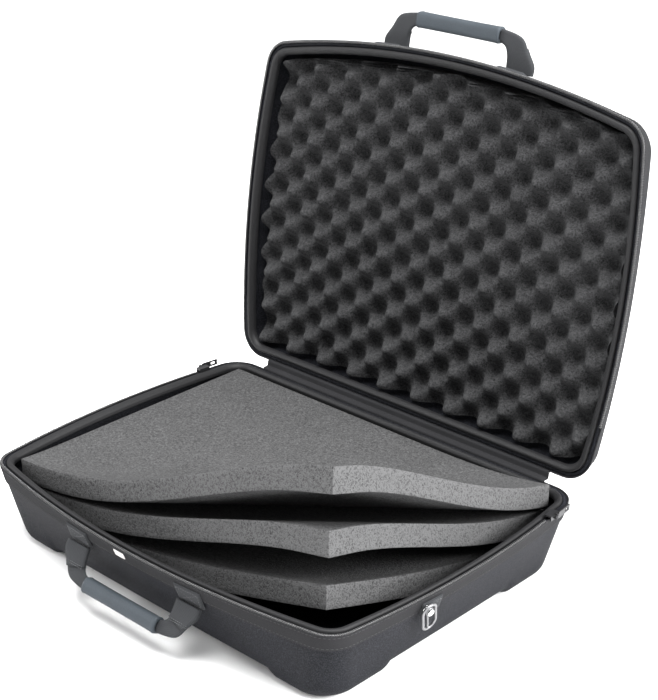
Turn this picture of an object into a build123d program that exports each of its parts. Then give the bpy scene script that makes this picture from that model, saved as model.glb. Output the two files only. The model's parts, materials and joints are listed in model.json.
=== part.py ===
from build123d import *
import math
import os

# Zip-around moulded carry case with its lid open, three loose foam sheets with one corner
# of each peeled up, and convoluted foam in the lid. Millimetres, +Z up. The origin is the
# middle of the base on the plane of its feet. The hinge runs along X at the back (+Y).

# Base shell
rim_width = 480.0          # outside the side walls at the rim, at the corners
rim_depth = 352.0
rim_radius = 30.0
front_bow = 27.0           # how far the front wall bulges at the rim
side_bow = 15.0
floor_width = rim_width - 30.0        # the same outline at the feet
floor_depth = rim_depth - 14.0
floor_radius = 36.0
wall = 4.0
bottom_round = 14.0
inner_round = 6.0
foot_height = 6.0
foot_length_x = 68.0       # each corner foot, from the end of the floor outline
foot_length_y = 80.0
foot_relief = 34.0         # how far in the underside is raised between two feet

# Lid shell
lid_height = 38.0
lid_top_width = rim_width - 18.0
lid_top_depth = rim_depth - 14.0
lid_front_bow = 15.0
lid_side_bow = 8.0
lid_open_angle = 98.4

# Foam
sheet_thickness = 24.0
sheet_gap = 0.3
pad_thickness = 3.0        # lining pad on the floor, that the bottom sheet rests on
pad_inset = 24.0           # from the edge of the bottom sheet
sheet_side_clear = 3.0
sheet_top_clear = 2.1      # top sheet to the plane where the two halves meet
peel_angles = (15.0, 18.4, 23.8)      # bottom, middle, top
peel_direction = 41.0      # of the line that the corners bend about, from the X axis
peel_back = 80.0           # of that line, behind the middle of the case, for the top sheet
peel_setback = 8.0         # each lower sheet bends this much nearer its corner
egg_crate_clear = 2.7      # tips of the peaks to the plane where the halves meet
egg_crate_thickness = lid_height - wall - sheet_gap - egg_crate_clear
egg_crate_side_clear = 6.0
egg_crate_taper = 2.0      # its back edge clears the rounded edge of the lid

# Feet to the plane where the two halves meet
floor_top = foot_height + wall
stack_height = pad_thickness + 3 * (sheet_thickness + sheet_gap) + sheet_top_clear
base_height = floor_top + stack_height

# Rim: zip tape, chain halves and the padded binding inside them
rim_gap = 0.15             # half of the gap left between the closed halves
tape_thickness = 1.2
tape_height = 18.0
tape_clear = 0.1
chain_width = 2.4
chain_height = 2.8
chain_seat = 0.3
binding_width = 6.4
binding_depth = 8.6
binding_drop = 0.6
binding_clear = 0.3
chain_end = 62.0           # from the back wall to each end of the chain
tape_end = 2.0             # tape edge to the plane where the halves meet
binding_shoulder = 0.3     # share of the binding that tapers
binding_out_taper = 1.4
binding_in_taper = 1.6

# Hinge tape
hinge_tape_length = rim_width - 80.0
hinge_reach = 5.3          # flat flaps that carry the hinge line behind the tape

# Carry handles
webbing_width = 32.0
webbing_thickness = 2.4
handle_spacing = 158.0     # between the middles of the two sewn tabs
tab_length = 20.0
tab_thickness = 2.2
base_tab_bottom = base_height - 28.0
lid_tab_top = 20.0         # above the plane where the halves meet
lid_tab_length = 16.0
handle_straight = 12.0     # webbing before it turns towards the grip
handle_reach = 40.0        # hinge line to the outer edge of the grip
grip_length = handle_spacing - 54.0
grip_width = 16.0
grip_thickness = 12.0
grip_round = 5.0
grip_margin = 2.0          # of the webbing inside the grip, on its inner side
shoulder_run = 4.0         # webbing corner past the end of the grip
handle_droop = 60.0        # base handle below level
fold_drop = 0.3            # fold line past the free edge of the sewn tab
fold_clear = 0.6

# Strap rings on the side walls
ring_tab_width = 15.0
ring_tab_length = 26.0
ring_tab_thickness = 2.0
ring_tab_y = -58.0
ring_tab_z = base_height - 16.0
ring_length = 38.0
ring_width = 18.0
ring_wire = 2.8
ring_bar = 2.2
ring_bar_offset = 2.2      # the bar stands nearer one side of the ring
ring_lean = 20.0
rivet_radius = 3.6
rivet_height = 1.8
rivet_round = 1.2
rivet_inset = 1.5          # rivet edge to the end of its tab
rivet_gap = 0.35           # behind the rivet, for the curve of the tab
ring_clear = 0.3

# Zip sliders
slider_length = 14.0
slider_height = 7.0
slider_plate = 1.4
slider_lip = 0.6
slider_park = 4.0          # slider to the end of the chain when the case is open
slider_y = rim_depth / 2 - chain_end + slider_length / 2 + slider_park
pull_length = 24.0
pull_width = 6.5
pull_thickness = 1.4
barrel_radius = 1.8
barrel_height = 3.2
pin_radius = 0.8
pin_clear = 0.08
lug_thickness = 1.0
slider_clear = 0.3
joint_lap = 0.2            # overlap between the fused parts of a slider or pull
pull_neck = 1.0            # clear neck between barrel and plate
pull_window_length = 6.0
pull_window_end = 3.0

# Blank woven label at the front
label_width = 14.0
label_height = 7.0
label_thickness = 0.8
label_x = -12.0

cut_past = 1.0             # how far a cutting shape runs past what it cuts
least_bow = 0.01           # keeps the lowest outline's arcs from becoming straight

os.makedirs("parts", exist_ok=True)


def outline(width, depth, front, side, radius, z):
    """Closed face: straight back edge, bulging front and sides, rounded corners."""
    x = width / 2
    y = depth / 2
    edges = [
        ThreePointArc((-x, -y), (0, -y - front), (x, -y)),
        ThreePointArc((x, -y), (x + side, 0), (x, y)),
        Line((x, y), (-x, y)),
        ThreePointArc((-x, y), (-x - side, 0), (-x, -y)),
    ]
    face = fillet(make_face(edges).vertices(), radius)
    return Pos(0, 0, z) * face


def mix(a, b, t):
    return a + (b - a) * t


def base_section(z, grow):
    """Outline of the base wall at a height, grown outwards by grow."""
    t = z / base_height
    return outline(
        mix(floor_width, rim_width, t) + 2 * grow,
        mix(floor_depth, rim_depth, t) + 2 * grow,
        front_bow * t + least_bow,
        side_bow * t + least_bow,
        mix(floor_radius, rim_radius, t) + grow,
        z,
    )


def lid_section(z, grow):
    """Outline of the closed lid's wall at a height, grown outwards by grow."""
    t = (z - base_height) / lid_height
    return outline(
        mix(rim_width, lid_top_width, t) + 2 * grow,
        mix(rim_depth, lid_top_depth, t) + 2 * grow,
        mix(front_bow, lid_front_bow, t),
        mix(side_bow, lid_side_bow, t),
        rim_radius + grow,
        z,
    )


def rounded_body(section, z_end, z_open, radius, grow):
    """Solid between the open end and a closed end whose edge is rounded."""
    steps = 5
    towards = 1 if z_open > z_end else -1
    faces = []
    for i in range(steps):
        a = math.radians(90 * i / steps)
        rise = radius * (1 - math.cos(a))
        inset = radius * (1 - math.sin(a))
        faces.append(section(z_end + towards * rise, grow - inset))
    faces.append(section(z_end + towards * radius, grow))
    faces.append(section(z_open, grow))
    return loft(faces, ruled=True)


def band(section, z0, z1, grow_out, grow_in):
    """Ring following the wall between two heights."""
    outer = loft([section(z0, grow_out), section(z1, grow_out)], ruled=True)
    inner = loft([section(z0, grow_in), section(z1, grow_in)], ruled=True)
    return outer - inner


def block(x0, x1, y0, y1, z0, z1):
    size = Box(x1 - x0, y1 - y0, z1 - z0)
    return Pos((x0 + x1) / 2, (y0 + y1) / 2, (z0 + z1) / 2) * size


def bulge(x, chord, bow):
    """How far an arc of the given chord and bow stands out at a distance from its middle."""
    radius = ((chord / 2) ** 2 + bow ** 2) / (2 * bow)
    return bow - (radius - math.sqrt(radius ** 2 - x ** 2))


far = 400.0                # half size of cutting blocks, past the whole case
back_y = rim_depth / 2
hinge_y = back_y + tape_clear + tape_thickness + hinge_reach
hinge_z = base_height
hinge_axis = Axis((0, hinge_y, hinge_z), (1, 0, 0))
rim_top = base_height - rim_gap - chain_height - chain_seat
lid_rim = base_height + rim_gap + chain_height + chain_seat


def opened(closed_lid_piece):
    return closed_lid_piece.rotate(hinge_axis, -lid_open_angle)


def base_shell():
    outer = rounded_body(base_section, 0, rim_top, bottom_round, 0)
    inner = rounded_body(
        base_section, floor_top, rim_top + cut_past, inner_round, -wall
    )
    x = floor_width / 2 - foot_length_x
    y = floor_depth / 2 - foot_length_y
    edge_x = floor_width / 2 - foot_relief
    edge_y = floor_depth / 2 - foot_relief
    front_relief = block(-x, x, -far, -edge_y, -cut_past, foot_height)
    back_relief = block(-x, x, edge_y, far, -cut_past, foot_height)
    right_relief = block(edge_x, far, -y, y, -cut_past, foot_height)
    left_relief = block(-far, -edge_x, -y, y, -cut_past, foot_height)
    return outer - inner - front_relief - back_relief - right_relief - left_relief


def lid_shell():
    top = base_height + lid_height
    outer = rounded_body(lid_section, top, lid_rim, bottom_round, 0)
    inner = rounded_body(
        lid_section, top - wall, lid_rim - cut_past, bottom_round - wall, -wall
    )
    return outer - inner


def tape_ring(section, z0, z1):
    """Zip tape outside the wall, left off along the hinge."""
    ring = band(section, z0, z1, tape_clear + tape_thickness, tape_clear)
    half = hinge_tape_length / 2 + rim_gap
    return ring - block(-half, half, 0, far, z0 - cut_past, z1 + cut_past)


def hinge_strip(section, z0, z1, flap_low):
    """Tape up the back wall with a flat flap that reaches out to the hinge line."""
    ring = band(section, z0, z1, tape_clear + tape_thickness, tape_clear)
    half = hinge_tape_length / 2 - rim_gap
    strip = ring & block(-half, half, 0, far, z0 - cut_past, z1 + cut_past)
    flap_y = back_y + tape_clear + tape_thickness / 2
    flap = block(-half, half, flap_y, hinge_y, flap_low, flap_low + tape_thickness)
    return strip + flap


def chain_half(section, z0, z1):
    ring = band(section, z0, z1, 0, -chain_width)
    end = back_y - chain_end
    return ring - block(-far, far, end, far, z0 - cut_past, z1 + cut_past)


def binding(section, z0, z1):
    """Padded edge roll inside the wall, thinner towards its exposed edge."""
    outer = -wall - binding_clear
    inner = outer - binding_width
    exposed = z1 if z1 < base_height else z0
    covered = z0 if z1 < base_height else z1
    shoulder = mix(exposed, covered, binding_shoulder)
    low = band(section, min(covered, shoulder), max(covered, shoulder), outer, inner)
    cap_outer = [section(shoulder, outer), section(exposed, outer - binding_out_taper)]
    cap_inner = [section(shoulder, inner), section(exposed, inner + binding_in_taper)]
    if exposed < shoulder:
        cap_outer.reverse()
        cap_inner.reverse()
    cap = loft(cap_outer, ruled=True) - loft(cap_inner, ruled=True)
    return low + cap


def sheet_half_sizes(z):
    """Half width and half depth of a square-cornered sheet that fits the base at a height."""
    t = z / base_height
    radius = mix(floor_radius, rim_radius, t) - wall
    corner = radius * (1 - 1 / math.sqrt(2))
    x = mix(floor_width, rim_width, t) / 2 - wall - corner - sheet_side_clear
    y = mix(floor_depth, rim_depth, t) / 2 - wall - corner - sheet_side_clear
    return x, y


def sheet_bottom(level):
    lowest = floor_top + pad_thickness + sheet_gap
    return lowest + level * (sheet_thickness + sheet_gap)


def level_size(level):
    """The bottom sheet clears the rounded floor edge and the top one clears the binding."""
    x, y = sheet_half_sizes(sheet_bottom(level))
    if level == 0:
        edge = inner_round - sheet_side_clear
        return x - edge, y - edge
    if level == 2:
        rim_x, rim_y = sheet_half_sizes(base_height)
        edge = binding_width + binding_clear
        spare = edge / math.sqrt(2)
        return min(x, rim_x - spare), min(y, rim_y - spare)
    return x, y


peel_turn = math.radians(peel_direction)
bend_along = Vector(math.cos(peel_turn), math.sin(peel_turn), 0)
bend_out = Vector(math.sin(peel_turn), -math.cos(peel_turn), 0)


def bend_point(level):
    """A point on the line about which a sheet's corner peels up, on its top face."""
    top = sheet_bottom(level) + sheet_thickness
    back = peel_back - (2 - level) * peel_setback
    return Vector(-bend_out.X * back, -bend_out.Y * back, top)


def sheet_halves(level):
    x, y = level_size(level)
    low = sheet_bottom(level)
    whole = block(-x, x, -y, y, low, low + sheet_thickness)
    place = Plane(origin=bend_point(level), x_dir=bend_along, z_dir=(0, 0, 1))
    beyond = place * (Pos(0, -far, 0) * Box(4 * far, 2 * far, 2 * far))
    crack = place * (Pos(0, -sheet_gap / 2, 0) * Box(4 * far, sheet_gap, 2 * far))
    rear = whole - beyond
    corner = (whole & beyond) - crack
    axis = Axis(bend_point(level), bend_along)
    return rear, corner.rotate(axis, -peel_angles[level])


def floor_pad():
    x, y = level_size(0)
    half_x = x - pad_inset
    half_y = y - pad_inset
    low = floor_top + rim_gap
    return block(-half_x, half_x, -half_y, half_y, low, floor_top + pad_thickness)


def egg_crate_foam():
    """Plain block with the foam's outer size. Its peaks stop just inside the rim."""
    top = base_height + lid_height - wall - sheet_gap
    low = top - egg_crate_thickness
    grow = -wall - binding_width - egg_crate_side_clear
    shoulder = top - bottom_round / 2
    levels = [(low, grow), (shoulder, grow), (top, grow - egg_crate_taper)]
    return loft([lid_section(z, edge) for z, edge in levels], ruled=True)


def base_wall_y(x, z):
    t = z / base_height
    chord = mix(floor_width, rim_width, t)
    return -mix(floor_depth, rim_depth, t) / 2 - bulge(x, chord, front_bow * t)


def lid_wall_y(x, z):
    t = (z - base_height) / lid_height
    chord = mix(rim_width, lid_top_width, t)
    bow = mix(front_bow, lid_front_bow, t)
    return -mix(rim_depth, lid_top_depth, t) / 2 - bulge(x, chord, bow)


tab_seat = tape_clear + tape_thickness + rim_gap


def handle_tab(section, z0, z1, x):
    """Webbing patch sewn over the tape on the front wall."""
    half = webbing_width / 2
    skin = band(section, z0, z1, tab_seat + tab_thickness, tab_seat)
    return skin & block(x - half, x + half, -far, 0, z0 - cut_past, z1 + cut_past)


def handle_plate():
    """Flat trapezoid of webbing in the XY plane: hinge line on the X axis, grip towards -Y."""
    x_mid = handle_spacing / 2
    half = webbing_width / 2
    x_out = x_mid + half
    x_in = x_mid - half
    grip_in = handle_reach - grip_width
    grip_end = grip_length / 2
    half_margin = grip_margin / 2
    outer_y = -handle_reach + half_margin
    outer = [
        (-x_out, 0),
        (-x_out, -handle_straight),
        (-grip_end - shoulder_run, outer_y),
        (grip_end + shoulder_run, outer_y),
        (x_out, -handle_straight),
        (x_out, 0),
        (x_in, 0),
        (x_in, -handle_straight),
        (grip_end + grip_margin, -grip_in - half_margin),
        (grip_end, -grip_in - grip_margin),
        (-grip_end, -grip_in - grip_margin),
        (-grip_end - grip_margin, -grip_in - half_margin),
        (-x_in, -handle_straight),
        (-x_in, 0),
    ]
    face = make_face(Polyline(outer, close=True))
    return Pos(0, 0, -webbing_thickness / 2) * extrude(face, webbing_thickness)


def handle_grip():
    centre = -handle_reach + grip_width / 2
    body = Box(grip_length, grip_width, grip_thickness)
    rounded = fillet(body.edges().filter_by(Axis.X), grip_round)
    return Pos(0, centre, 0) * rounded - handle_plate()


fold_stand_off = tab_seat + tab_thickness + webbing_thickness / 2 + fold_clear
base_fold_z = base_tab_bottom - fold_drop
base_fold_y = base_wall_y(handle_spacing / 2, base_tab_bottom) - fold_stand_off
lid_fold_z = base_height + lid_tab_top + fold_drop
lid_fold_y = lid_wall_y(handle_spacing / 2, base_height + lid_tab_top) - fold_stand_off


def place_base_handle(piece):
    turned = Rot(handle_droop, 0, 0) * piece
    return Pos(0, base_fold_y, base_fold_z) * turned


def place_lid_handle(piece):
    return opened(Pos(0, lid_fold_y, lid_fold_z) * piece)


def side_wall_x(y, z):
    t = z / base_height
    chord = mix(floor_depth, rim_depth, t)
    return mix(floor_width, rim_width, t) / 2 + bulge(y, chord, side_bow * t)


def ring_tab():
    """Right-hand webbing tab, sewn along the wall under the zip."""
    half_y = ring_tab_length / 2
    half_z = ring_tab_width / 2
    z0 = ring_tab_z - half_z
    z1 = ring_tab_z + half_z
    skin = band(base_section, z0, z1, tab_seat + ring_tab_thickness, tab_seat)
    y0 = ring_tab_y - half_y
    y1 = ring_tab_y + half_y
    return skin & block(0, far, y0, y1, z0 - cut_past, z1 + cut_past)


rivet_y = ring_tab_y - ring_tab_length / 2 + rivet_radius + rivet_inset
rise_x = side_wall_x(rivet_y, ring_tab_z + rivet_radius)
rise_x = rise_x - side_wall_x(rivet_y, ring_tab_z - rivet_radius)
run_x = side_wall_x(rivet_y + rivet_radius, ring_tab_z)
run_x = run_x - side_wall_x(rivet_y - rivet_radius, ring_tab_z)
wall_lean = math.degrees(math.atan2(rise_x, 2 * rivet_radius))
wall_turn = math.degrees(math.atan2(run_x, 2 * rivet_radius))


def on_side_wall(piece, y, z, stand_off):
    """Carry a piece drawn with its outward side along +X onto the right wall."""
    x = side_wall_x(y, z) + stand_off
    return Pos(x, y, z) * Rot(0, wall_lean, 0) * Rot(0, 0, -wall_turn) * piece


rivet_seat = tab_seat + ring_tab_thickness + rivet_gap


def rivet():
    """Domed rivet head with a short shank that the ring hangs from."""
    head = Rot(0, 90, 0) * Pos(0, 0, rivet_height / 2) * Cylinder(rivet_radius, rivet_height)
    shank_length = ring_wire + 3 * ring_clear
    shank = Pos(rivet_height + shank_length / 2, 0, 0) * Rot(0, 90, 0)
    shank = shank * Cylinder(ring_bar / 2, shank_length)
    cap_x = rivet_height + shank_length
    cap = Pos(cap_x + rivet_height / 2, 0, 0) * Rot(0, 90, 0)
    cap = cap * Cylinder(rivet_radius, rivet_height)
    cap = fillet(cap.edges().sort_by(Axis.X)[-1], rivet_round)
    return head + shank + cap


def strap_ring():
    """Oblong wire ring with a bar down its middle, hanging from the rivet at its top."""
    half = ring_width / 2
    eye = ring_bar / 2 + ring_clear
    outer = SlotOverall(ring_length, ring_width)
    window = SlotOverall(ring_length - 2 * ring_wire, ring_width - 2 * ring_wire)
    bar = Pos(0, -ring_bar_offset) * Rectangle(ring_length - ring_wire, ring_bar)
    face = (outer - window) + bar
    flat = extrude(face, ring_wire)
    boss = Pos(ring_length / 2 - half, 0, 0) * extrude(Circle(eye + ring_wire), ring_wire)
    hole_depth = ring_wire + 2 * cut_past
    hole = Pos(ring_length / 2 - half, 0, -cut_past) * extrude(Circle(eye), hole_depth)
    hung = Pos(-ring_length / 2 + half, 0, 0) * (flat + boss - hole)
    upright = Rot(0, -90, 0) * (Pos(0, 0, -ring_wire) * hung)
    return Rot(ring_lean, 0, 0) * upright


side_radius = ((rim_depth / 2) ** 2 + side_bow ** 2) / (2 * side_bow)
pin_stand_off = (
    tape_clear + tape_thickness + slider_clear + slider_plate + slider_clear + barrel_radius
)


def on_right_chain(piece):
    """Carry a piece drawn at the middle of the chain's side to where the slider is parked."""
    turn = math.degrees(math.asin(slider_y / side_radius))
    x = side_wall_x(slider_y, base_height)
    return Pos(x, slider_y, base_height) * Rot(0, 0, turn) * piece


def slider():
    """Right-hand slider: a saddle over the base chain, with a pin for its pull."""
    out = tape_clear + tape_thickness + slider_clear
    inner_face = chain_width + 4 * slider_clear   # the chain leans in below the rim
    half = slider_length / 2
    crown = 2 * slider_clear + slider_plate
    low = rim_top + slider_clear - base_height
    outer_plate = block(out, out + slider_plate, -half, half, -slider_height / 2, crown)
    inner_plate = block(-inner_face - slider_lip, -inner_face, -half, half, low, crown)
    bridge = block(
        -inner_face - slider_lip, out + joint_lap, -half, half, slider_clear, crown
    )
    body = outer_plate + inner_plate + bridge
    gap = barrel_height / 2 + slider_clear
    for z in (-gap - lug_thickness, gap):
        x0 = out + slider_plate - joint_lap
        x1 = pin_stand_off + pin_radius
        body += block(x0, x1, -pin_radius, pin_radius, z, z + lug_thickness)
    pin = Cylinder(pin_radius, 2 * gap + lug_thickness)
    return on_right_chain(body + Pos(pin_stand_off, 0, 0) * pin)


def pull():
    """Flat pull with a barrel round the slider's pin, lying back along the tape."""
    bore = Cylinder(pin_radius + pin_clear, barrel_height + 2 * cut_past)
    barrel = Cylinder(barrel_radius, barrel_height) - bore
    half = pull_width / 2
    thin = pull_thickness / 2
    half_neck = barrel_height / 2
    neck_start = pin_radius + pin_clear + joint_lap
    plate_start = barrel_radius + pull_neck
    neck = block(
        -thin, thin, neck_start, plate_start + joint_lap, -half_neck, half_neck
    )
    plate = block(-thin, thin, plate_start, pull_length, -half, half)
    y1 = pull_length - pull_window_end
    y0 = y1 - pull_window_length
    window = block(-thin - cut_past, thin + cut_past, y0, y1, -half / 2, half / 2)
    return on_right_chain(Pos(pin_stand_off, 0, 0) * (barrel + neck + plate - window))


def label():
    z = base_height - tape_height / 2
    skin = band(
        base_section, z - label_height / 2, z + label_height / 2,
        tab_seat + label_thickness, tab_seat,
    )
    half = label_width / 2
    return skin & block(label_x - half, label_x + half, -far, 0, -far, far)


def mirrored(piece):
    return mirror(piece, about=Plane.YZ)


pieces = {
    "base_shell": base_shell(),
    "base_zip_tape": tape_ring(
        base_section, base_height - tape_end - tape_height, base_height - tape_end
    ),
    "base_zip_chain": chain_half(base_section, rim_top + chain_seat, base_height - rim_gap),
    "base_binding": binding(
        base_section, base_height - binding_drop - binding_depth, base_height - binding_drop
    ),
    "base_hinge_tape": hinge_strip(
        base_section, base_height - tape_height, base_height - rim_gap,
        base_height - rim_gap - tape_thickness,
    ),
    "base_label": label(),
    "base_floor_pad": floor_pad(),
    "lid_shell": opened(lid_shell()),
    "lid_zip_tape": opened(
        tape_ring(
            lid_section, base_height + tape_end, base_height + tape_end + tape_height
        )
    ),
    "lid_zip_chain": opened(
        chain_half(lid_section, base_height + rim_gap, lid_rim - chain_seat)
    ),
    "lid_binding": opened(
        binding(
            lid_section, base_height + binding_drop, base_height + binding_drop + binding_depth
        )
    ),
    "lid_hinge_tape": opened(
        hinge_strip(
            lid_section, base_height + rim_gap, base_height + tape_height,
            base_height + rim_gap,
        )
    ),
    "lid_egg_crate_foam": opened(egg_crate_foam()),
    "base_handle_strap": place_base_handle(handle_plate()),
    "base_handle_grip": place_base_handle(handle_grip()),
    "lid_handle_strap": place_lid_handle(handle_plate()),
    "lid_handle_grip": place_lid_handle(handle_grip()),
}

for level, name in enumerate(("bottom_sheet", "middle_sheet", "top_sheet")):
    rear, corner = sheet_halves(level)
    pieces[name] = rear
    pieces[name + "_corner"] = corner

for side, x in (("left", -handle_spacing / 2), ("right", handle_spacing / 2)):
    pieces["base_handle_tab_" + side] = handle_tab(
        base_section, base_tab_bottom, base_tab_bottom + tab_length, x
    )
    lid_tab_high = base_height + lid_tab_top
    pieces["lid_handle_tab_" + side] = opened(
        handle_tab(lid_section, lid_tab_high - lid_tab_length, lid_tab_high, x)
    )

right_side = {
    "ring_tab": ring_tab(),
    "ring_rivet": on_side_wall(rivet(), rivet_y, ring_tab_z, rivet_seat),
    "strap_ring": on_side_wall(
        Pos(rivet_height + ring_clear, 0, 0) * strap_ring(),
        rivet_y, ring_tab_z, rivet_seat,
    ),
    "zip_slider": slider(),
    "zip_pull": pull(),
}
for name, piece in right_side.items():
    pieces["right_" + name] = piece
    pieces["left_" + name] = mirrored(piece)

for name, piece in pieces.items():
    export_step(piece, "parts/" + name + ".step")
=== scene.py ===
import json
import math
import bmesh
import bpy
import numpy as np
from mathutils import Matrix, Vector


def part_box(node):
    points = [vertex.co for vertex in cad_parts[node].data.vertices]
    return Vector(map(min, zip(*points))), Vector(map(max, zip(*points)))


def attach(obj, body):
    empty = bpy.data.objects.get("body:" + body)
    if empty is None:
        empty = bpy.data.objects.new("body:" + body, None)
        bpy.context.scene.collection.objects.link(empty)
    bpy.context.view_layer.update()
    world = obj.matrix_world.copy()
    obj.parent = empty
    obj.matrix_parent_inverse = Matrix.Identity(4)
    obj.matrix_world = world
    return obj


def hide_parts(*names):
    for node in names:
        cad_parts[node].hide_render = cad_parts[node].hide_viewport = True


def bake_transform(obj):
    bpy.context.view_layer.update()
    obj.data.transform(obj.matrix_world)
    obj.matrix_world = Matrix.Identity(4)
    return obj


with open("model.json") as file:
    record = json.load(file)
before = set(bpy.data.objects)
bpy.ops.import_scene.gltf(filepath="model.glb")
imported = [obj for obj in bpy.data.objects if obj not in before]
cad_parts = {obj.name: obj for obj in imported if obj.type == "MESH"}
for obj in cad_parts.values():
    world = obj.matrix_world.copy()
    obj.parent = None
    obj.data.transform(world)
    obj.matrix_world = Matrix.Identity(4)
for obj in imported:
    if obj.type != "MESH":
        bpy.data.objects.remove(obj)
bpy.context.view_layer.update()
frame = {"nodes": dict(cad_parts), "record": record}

record = frame["record"]
joints = {j["name"]: j for j in record["behaviour"]["joints"]}

# moulded shells, metres, in the frame of the closed case
shell = dict(
    rimWidth=0.480, rimDepth=0.352, rimRadius=0.030, frontBow=0.027, sideBow=0.015,
    floorWidth=0.450, floorDepth=0.338, floorRadius=0.036, height=0.088, wall=0.004,
    bottomRound=0.014, innerRound=0.006, floorTop=0.010, footHeight=0.006,
    footX=0.157, footY=0.089, reliefX=0.191, reliefY=0.135, rimDrop=0.00325,
    lidHeight=0.038, lidWidth=0.462, lidDepth=0.338, lidFrontBow=0.015, lidSideBow=0.008,
    openAngle=98.4, crown=0.0015, rimEase=0.0006)

hingeAt = np.array(joints["lid_hinge"]["pos_m"])
openTurn = -math.radians(shell["openAngle"])
upward = np.array([0, 0, 1.0])


def smooth(t):
    # smoothstep, 3t^2 - 2t^3 on t held between 0 and 1
    t = np.clip(t, 0, 1)
    return t * t * (3 - 2 * t)


def mix(a, b, t):
    return a + (b - a) * t


def unit(v):
    return v / np.maximum(np.linalg.norm(v, axis=-1, keepdims=True), 1e-12)


def turned(points, angle, at):
    # turn about the line through a point along X: y' = y cos - z sin, z' = y sin + z cos
    y = points[..., 1] - at[1]
    z = points[..., 2] - at[2]
    c = np.cos(angle)
    s = np.sin(angle)
    return np.stack([points[..., 0], at[1] + y * c - z * s, at[2] + y * s + z * c], -1)


def opened(points):
    # from the closed lid to the lid as it stands at rest
    return turned(points, openTurn, hingeAt)


def same(points):
    return points


def runAlong(line):
    # distance along a line of points from its first
    return np.concatenate([[0], np.cumsum(np.linalg.norm(np.diff(line, axis=0), axis=1))])


def shrunk(loop, shares):
    # copies of a loop drawn in towards the Z axis, one for each share
    return np.concatenate([loop * np.array([s, s, 1]) for s in shares])


def gridRim(face):
    # the points round the outside of a grid, in order
    return np.concatenate([face[0], face[1:, -1], face[-1, ::-1][1:], face[:0:-1, 0][1:]])


def capRows(ring, share):
    # closes a cut end by shrinking its ring of points to the middle
    middle = ring.mean(0)
    return np.stack([ring, middle + (ring - middle) * share, np.broadcast_to(middle, ring.shape)])


def gridFaces(rows, cols, closeRows, closeCols):
    # four corners of every cell of a rows by cols grid, wrapped where it is closed
    r = np.arange(rows if closeRows else rows - 1)[:, None]
    c = np.arange(cols if closeCols else cols - 1)[None, :]
    r2 = (r + 1) % rows
    c2 = (c + 1) % cols
    cells = np.stack([r * cols + c, r * cols + c2, r2 * cols + c2, r2 * cols + c], -1)
    return cells.reshape(-1, 4)


class Parts:
    # collects grids of points into one mesh, with an optional flat pattern position for each point
    def __init__(self):
        self.points, self.faces, self.flat, self.count = [], [], [], 0

    def grid(self, points, closeRows=False, closeCols=False, flat=None, flip=False):
        rows, cols = points.shape[:2]
        faces = gridFaces(rows, cols, closeRows, closeCols) + self.count
        self.faces.append(faces[:, ::-1] if flip else faces)
        self.points.append(points.reshape(-1, 3))
        if flat is None:
            flat = np.zeros((rows, cols, 2))
        self.flat.append(flat.reshape(-1, 2))
        self.count += rows * cols
        return self

    def copies(self, points, faces, flat=None):
        # many small shapes at once: points is (copies, n, 3), faces are those of one of them
        many, n = points.shape[:2]
        offset = (np.arange(many) * n)[:, None, None] + self.count
        self.faces.append((faces[None] + offset).reshape(-1, 4))
        self.points.append(points.reshape(-1, 3))
        self.flat.append(np.zeros((many * n, 2)) if flat is None else flat.reshape(-1, 2))
        self.count += many * n
        return self

    def carry(self, move):
        self.points = [move(points) for points in self.points]
        return self

    def build(self, name, weld=1e-5, outward=True):
        points = np.concatenate(self.points)
        faces = np.concatenate(self.faces)
        flat = np.concatenate(self.flat)
        mesh = bpy.data.meshes.new(name)
        mesh.vertices.add(len(points))
        mesh.vertices.foreach_set("co", points.astype(np.float32).ravel())
        mesh.loops.add(len(faces) * 4)
        mesh.loops.foreach_set("vertex_index", faces.astype(np.int32).ravel())
        mesh.polygons.add(len(faces))
        mesh.polygons.foreach_set("loop_start", np.arange(0, len(faces) * 4, 4, dtype=np.int32))
        mesh.update(calc_edges=True)
        uv = mesh.uv_layers.new(name="flat")
        uv.data.foreach_set("uv", flat[faces.ravel()].astype(np.float32).ravel())
        if weld or outward:
            work = bmesh.new()
            work.from_mesh(mesh)
            if weld:
                bmesh.ops.remove_doubles(work, verts=work.verts, dist=weld)
                bmesh.ops.dissolve_degenerate(work, edges=work.edges, dist=1e-7)
            if outward:
                bmesh.ops.recalc_face_normals(work, faces=work.faces)
            work.to_mesh(mesh)
            work.free()
        mesh.shade_smooth()
        piece = bpy.data.objects.new(name, mesh)
        bpy.context.scene.collection.objects.link(piece)
        return piece


def softenEdges(piece, degrees=40):
    # keeps edges sharper than this crisp in the shading
    with bpy.context.temp_override(object=piece, active_object=piece, selected_objects=[piece],
                                   selected_editable_objects=[piece]):
        bpy.ops.object.shade_smooth_by_angle(angle=math.radians(degrees))


def place(piece, body, material, nodes=()):
    piece.data.materials.clear()
    piece.data.materials.append(material)
    if body:
        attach(piece, body)
    if nodes:
        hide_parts(*nodes)
    print("made", piece.name, len(piece.data.polygons), "faces")
    return piece


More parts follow.
